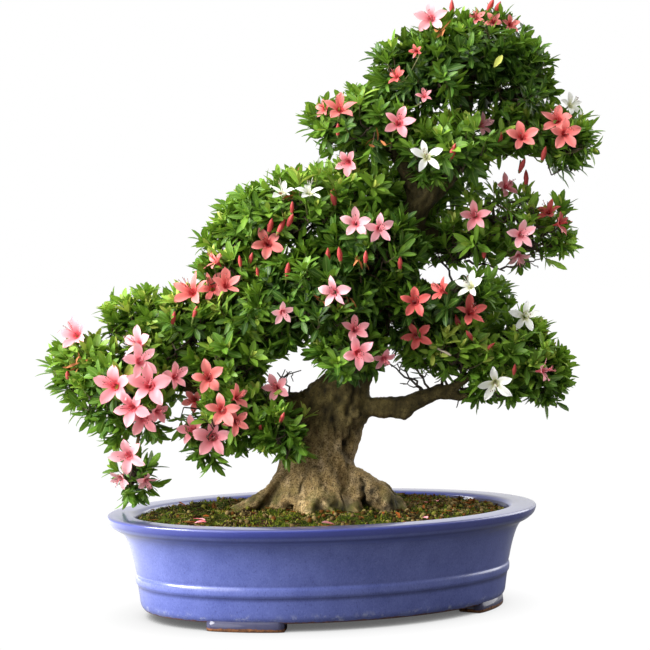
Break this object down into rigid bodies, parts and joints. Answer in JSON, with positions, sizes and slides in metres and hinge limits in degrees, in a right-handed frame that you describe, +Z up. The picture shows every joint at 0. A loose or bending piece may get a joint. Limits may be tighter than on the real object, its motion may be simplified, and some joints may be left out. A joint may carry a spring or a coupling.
{
  "type": "satsuki azalea bonsai in an oval pot",
  "caption": "Flowering azalea trained as a bonsai, leaning to one side over a flared root base, planted in a shallow oval glazed pot with a raised band and low feet.",
  "frame": {"origin": "on the resting plane under the middle of the pot", "axes": "+Z up, +X along the pot's length towards the side of the tree's lowest right branch, +Y across the pot, away from the tree's front"},
  "size_m": [0.5069, 0.334, 0.6137],
  "materials": {
    "glazed_stoneware": "glossy blue glaze over brown stoneware",
    "screen_plastic": "dark moulded mesh",
    "mossy_soil": "moist soil with moss and litter",
    "bark": "rough grey-brown bark",
    "azalea_leaf": "glossy leaves, green to yellow-green",
    "petal_coral": "soft petals, darker in the throat",
    "petal_salmon": "soft petals, darker in the throat",
    "petal_pink": "soft petals, darker in the throat",
    "petal_pale": "soft petals, flushed pink",
    "petal_white": "soft petals"
  },
  "bodies": {
    "root": {"pot": "glazed_stoneware", "drain_screen_left": "screen_plastic", "drain_screen_right": "screen_plastic", "soil": "mossy_soil", "tree": "bark", "foliage_apex": "azalea_leaf", "foliage_right_shoulder": "azalea_leaf", "foliage_left_shoulder": "azalea_leaf", "foliage_upper_left": "azalea_leaf", "foliage_heart": "azalea_leaf", "foliage_skirt": "azalea_leaf", "foliage_left": "azalea_leaf", "foliage_far_left": "azalea_leaf", "foliage_droop": "azalea_leaf", "foliage_right_low": "azalea_leaf", "foliage_right_middle": "azalea_leaf", "foliage_back_heart": "azalea_leaf", "foliage_back_left": "azalea_leaf", "foliage_back_right": "azalea_leaf", "flowers_01_pale": "petal_pale", "flowers_02_salmon": "petal_salmon", "flowers_03_coral": "petal_coral", "flowers_04_salmon": "petal_salmon", "flowers_05_pink": "petal_pink", "flowers_06_white": "petal_white", "flowers_07_pale": "petal_pale", "flowers_08_salmon": "petal_salmon", "flowers_09_salmon": "petal_salmon", "flowers_10_white": "petal_white", "flowers_11_pink": "petal_pink", "flowers_12_pink": "petal_pink", "flowers_13_pink": "petal_pink", "flowers_14_coral": "petal_coral", "flowers_15_pale": "petal_pale", "flowers_16_pale": "petal_pale", "flowers_17_white": "petal_white", "flowers_18_salmon": "petal_salmon", "flowers_19_salmon": "petal_salmon", "flowers_20_pale": "petal_pale", "flowers_21_pale": "petal_pale", "flowers_22_pink": "petal_pink", "flowers_23_coral": "petal_coral", "flowers_24_coral": "petal_coral", "flowers_25_coral": "petal_coral", "flowers_26_white": "petal_white", "flowers_27_white": "petal_white", "flowers_28_white": "petal_white", "flowers_29_pink": "petal_pink", "flowers_30_pink": "petal_pink", "flowers_31_pale": "petal_pale", "flowers_32_pink": "petal_pink", "flowers_33_pink": "petal_pink", "flowers_34_pink": "petal_pink", "flowers_35_salmon": "petal_salmon", "flowers_36_salmon": "petal_salmon", "flowers_37_pink": "petal_pink", "flowers_38_pale": "petal_pale", "flowers_39_pink": "petal_pink", "flowers_40_pink": "petal_pink", "flowers_41_salmon": "petal_salmon"}
  },
  "joints": []
}
